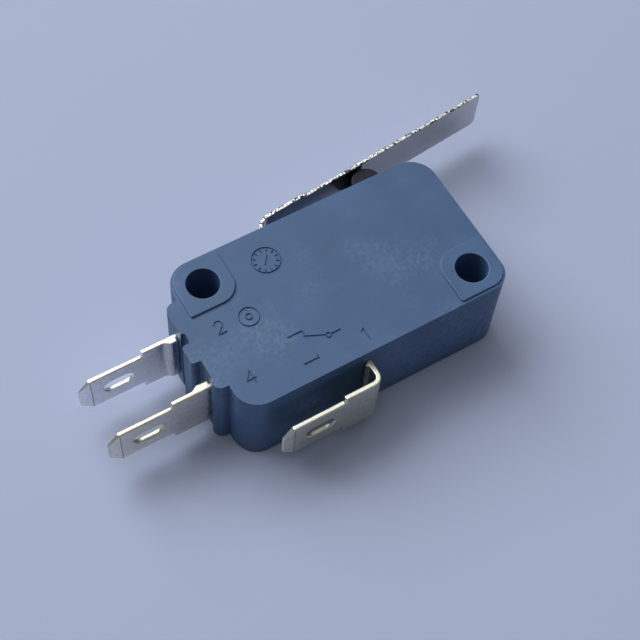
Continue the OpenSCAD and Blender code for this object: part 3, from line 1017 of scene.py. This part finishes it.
@dataclass
class TensionSpring:
    """The coil spring between the contact arm and the operating lever.

    Attributes:
        wire: Wire diameter.
        coil: Mean radius of the coil.
        hook: Mean radius of the end hooks.
        turns: Number of turns.
        lead: Distance from the first hook to the coil.
        tail: What the coil stays short of the second hook, beyond the lead.
        heights: Where the two hooks lie along Y.
        steps: Number of points in a turn.
        bends: Number of stretches in a hook.
    """

    wire: float = 0.3
    coil: float = 0.95
    hook: float = 0.55
    turns: int = 12
    lead: float = 0.45
    tail: float = 0.3
    heights: tuple[float, float] = (-0.088, 0.061)
    steps: int = 22
    bends: int = 12

    def build(self) -> None:
        """Builds the spring along the line between its two hooks."""
        low, high = (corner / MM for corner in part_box("tension_spring"))
        height = (low.z + high.z) / 2
        start = Vector((low.x + self.wire / 2, self.heights[0], height))
        end = Vector((high.x - self.wire / 2 - self.hook, self.heights[1], height))
        path = [self._place(start, end, p) for p in self._line((end - start).length)]
        finish = DrawnWire("drawn_spring_wire", (0.55, 0.56, 0.58)).material()
        spring = SweptBar("wire_sweep", 10).sweep("coil_spring", [Path(path)], self.wire, self.wire, finish)
        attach(spring, "spring")
        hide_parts("tension_spring")
        LOG.info("coil_spring: %d faces", len(spring.data.polygons))

    def _line(self, length: float) -> list[tuple[float, float, float]]:
        """Gives the wire's middle line, with its first hook at the origin.

        Args:
            length: Distance between the hooks.

        Returns:
            The points.
        """
        points = []
        for i in range(self.bends + 1):
            a = math.radians(-60 - 210 * i / self.bends)
            points.append((self.hook * (1 + math.cos(a)), self.hook * math.sin(a), 0.0))
        first = 2 * self.hook + self.lead
        last = length - self.hook - self.lead - self.tail
        count = self.turns * self.steps
        for i in range(count + 1):
            a = 2 * math.pi * i / self.steps
            x = first + (last - first) * i / count
            points.append((x, self.coil * math.cos(a), self.coil * math.sin(a)))
        for i in range(self.bends + 1):
            a = math.radians(120 - 270 * i / self.bends)
            points.append((length + self.hook * math.cos(a), self.hook * math.sin(a), 0.0))
        return points

    @staticmethod
    def _place(start: Vector, end: Vector, point: tuple[float, float, float]) -> tuple[float, float, float]:
        """Puts a point of the straight spring on the line between the hooks.

        Args:
            start: The first hook.
            end: The second hook's middle.
            point: The point.

        Returns:
            Its place.
        """
        along = (end - start).normalized()
        side = Vector((-along.y, along.x, 0.0))
        x, y, z = point
        return tuple(start + along * x + side * y + Vector((0.0, 0.0, z)))


# The studio --------------------------------------------------------------------------------------


@dataclass(frozen=True)
class ViewPoint:
    """Where the camera stands.

    Attributes:
        target: The point that it looks at, in millimetres.
        azimuth: Direction of view from +Y towards +X, in degrees.
        drop: How steeply it looks down, in degrees.
        roll: Its turn about the line of sight, in degrees.
        distance: Distance from the target, in millimetres.
        lens: Focal length, in millimetres.
        sensor: Width of the sensor, in millimetres.
    """

    target: tuple[float, float, float] = (-0.46, 1.53, 0.0)
    azimuth: float = 35.56
    drop: float = 60.72
    roll: float = 5.82
    distance: float = 136.78
    lens: float = 79.31
    sensor: float = 36.0

    def make(self) -> None:
        """Makes the camera the scene's own."""
        a, e, r = (math.radians(v) for v in (self.azimuth, self.drop, self.roll))
        view = Vector((math.sin(a) * math.cos(e), math.cos(a) * math.cos(e), -math.sin(e)))
        right = view.cross(Vector((0, 0, 1))).normalized()
        up = right.cross(view)
        rolled_right = math.cos(r) * right + math.sin(r) * up
        rolled_up = math.cos(r) * up - math.sin(r) * right
        place = (Vector(self.target) - view * self.distance) * MM
        data = bpy.data.cameras.new("camera")
        data.sensor_width = self.sensor
        data.lens = self.lens
        data.clip_start = 0.005
        data.clip_end = 20.0
        camera = bpy.data.objects.new("camera", data)
        turn = Matrix((rolled_right, rolled_up, -view)).transposed().to_4x4()
        camera.matrix_world = Matrix.Translation(place) @ turn
        bpy.context.scene.collection.objects.link(camera)
        bpy.context.scene.camera = camera


@dataclass(frozen=True)
class SoftLamp:
    """A square area lamp.

    Attributes:
        name: Its name.
        place: Its place, in metres.
        size: Its side, in metres.
        power: Its power, in watts.
        colour: Its colour, linear.
    """

    name: str
    place: tuple[float, float, float]
    size: float
    power: float
    colour: Colour = (1.0, 1.0, 1.0)

    def make(self) -> None:
        """Hangs the lamp, facing the switch."""
        data = bpy.data.lights.new(self.name, "AREA")
        data.shape = "SQUARE"
        data.size = self.size
        data.energy = self.power
        data.color = self.colour
        lamp = bpy.data.objects.new(self.name, data)
        place = Vector(self.place)
        lamp.matrix_world = Matrix.Translation(place) @ place.to_track_quat("Z", "Y").to_matrix().to_4x4()
        bpy.context.scene.collection.objects.link(lamp)


@dataclass
class Studio:
    """The pale table, the soft light and the camera.

    Attributes:
        view: The camera.
        lamps: The lamps.
        ambient: Colour of the surrounding light.
        strength: Its strength.
        table: Half the table's side, in metres.
        table_colour: The table's colour, linear.
    """

    view: ViewPoint = field(default_factory=ViewPoint)
    lamps: Sequence[SoftLamp] = (
        SoftLamp("window", (-0.21, 0.47, 0.56), 0.62, 5.0),
        SoftLamp("ceiling", (0.0, 0.15, 0.8), 0.85, 2.4),
    )
    ambient: Colour = (1.0, 0.97, 0.9)
    strength: float = 0.11
    table: float = 2.0
    table_colour: Colour = (0.415, 0.475, 0.66)

    def build(self) -> None:
        """Builds the table, the light and the camera."""
        scene = bpy.context.scene
        scene.view_settings.view_transform = "Standard"
        world = bpy.data.worlds.new("soft_room")
        world.use_nodes = True
        background = world.node_tree.nodes["Background"]
        background.inputs["Color"].default_value = (*self.ambient, 1.0)
        background.inputs["Strength"].default_value = self.strength
        scene.world = world
        for lamp in self.lamps:
            lamp.make()
        self.view.make()
        self._lay_table()
        LOG.info("studio: %d lamps", len(self.lamps))

    def _lay_table(self) -> None:
        """Lays the table under the switch."""
        mesh = bmesh.new()
        bmesh.ops.create_grid(mesh, x_segments=1, y_segments=1, size=self.table)
        data = bpy.data.meshes.new("tabletop")
        mesh.to_mesh(data)
        mesh.free()
        data.materials.append(Tabletop("pale_tabletop", self.table_colour).material())
        table = bpy.data.objects.new("tabletop", data)
        bpy.context.scene.collection.objects.link(table)


def main() -> None:
    """Loads the frame, builds every piece and logs each piece's face count."""
    logging.basicConfig(level=logging.INFO, format="%(name)s: %(message)s")
    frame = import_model()
    shop = MeshShop(frame)
    Studio().build()
    Housing(shop).build()
    MetalParts(shop).build()
    Button(shop).build()
    TensionSpring().build()


if __name__ == "__main__":
    main()
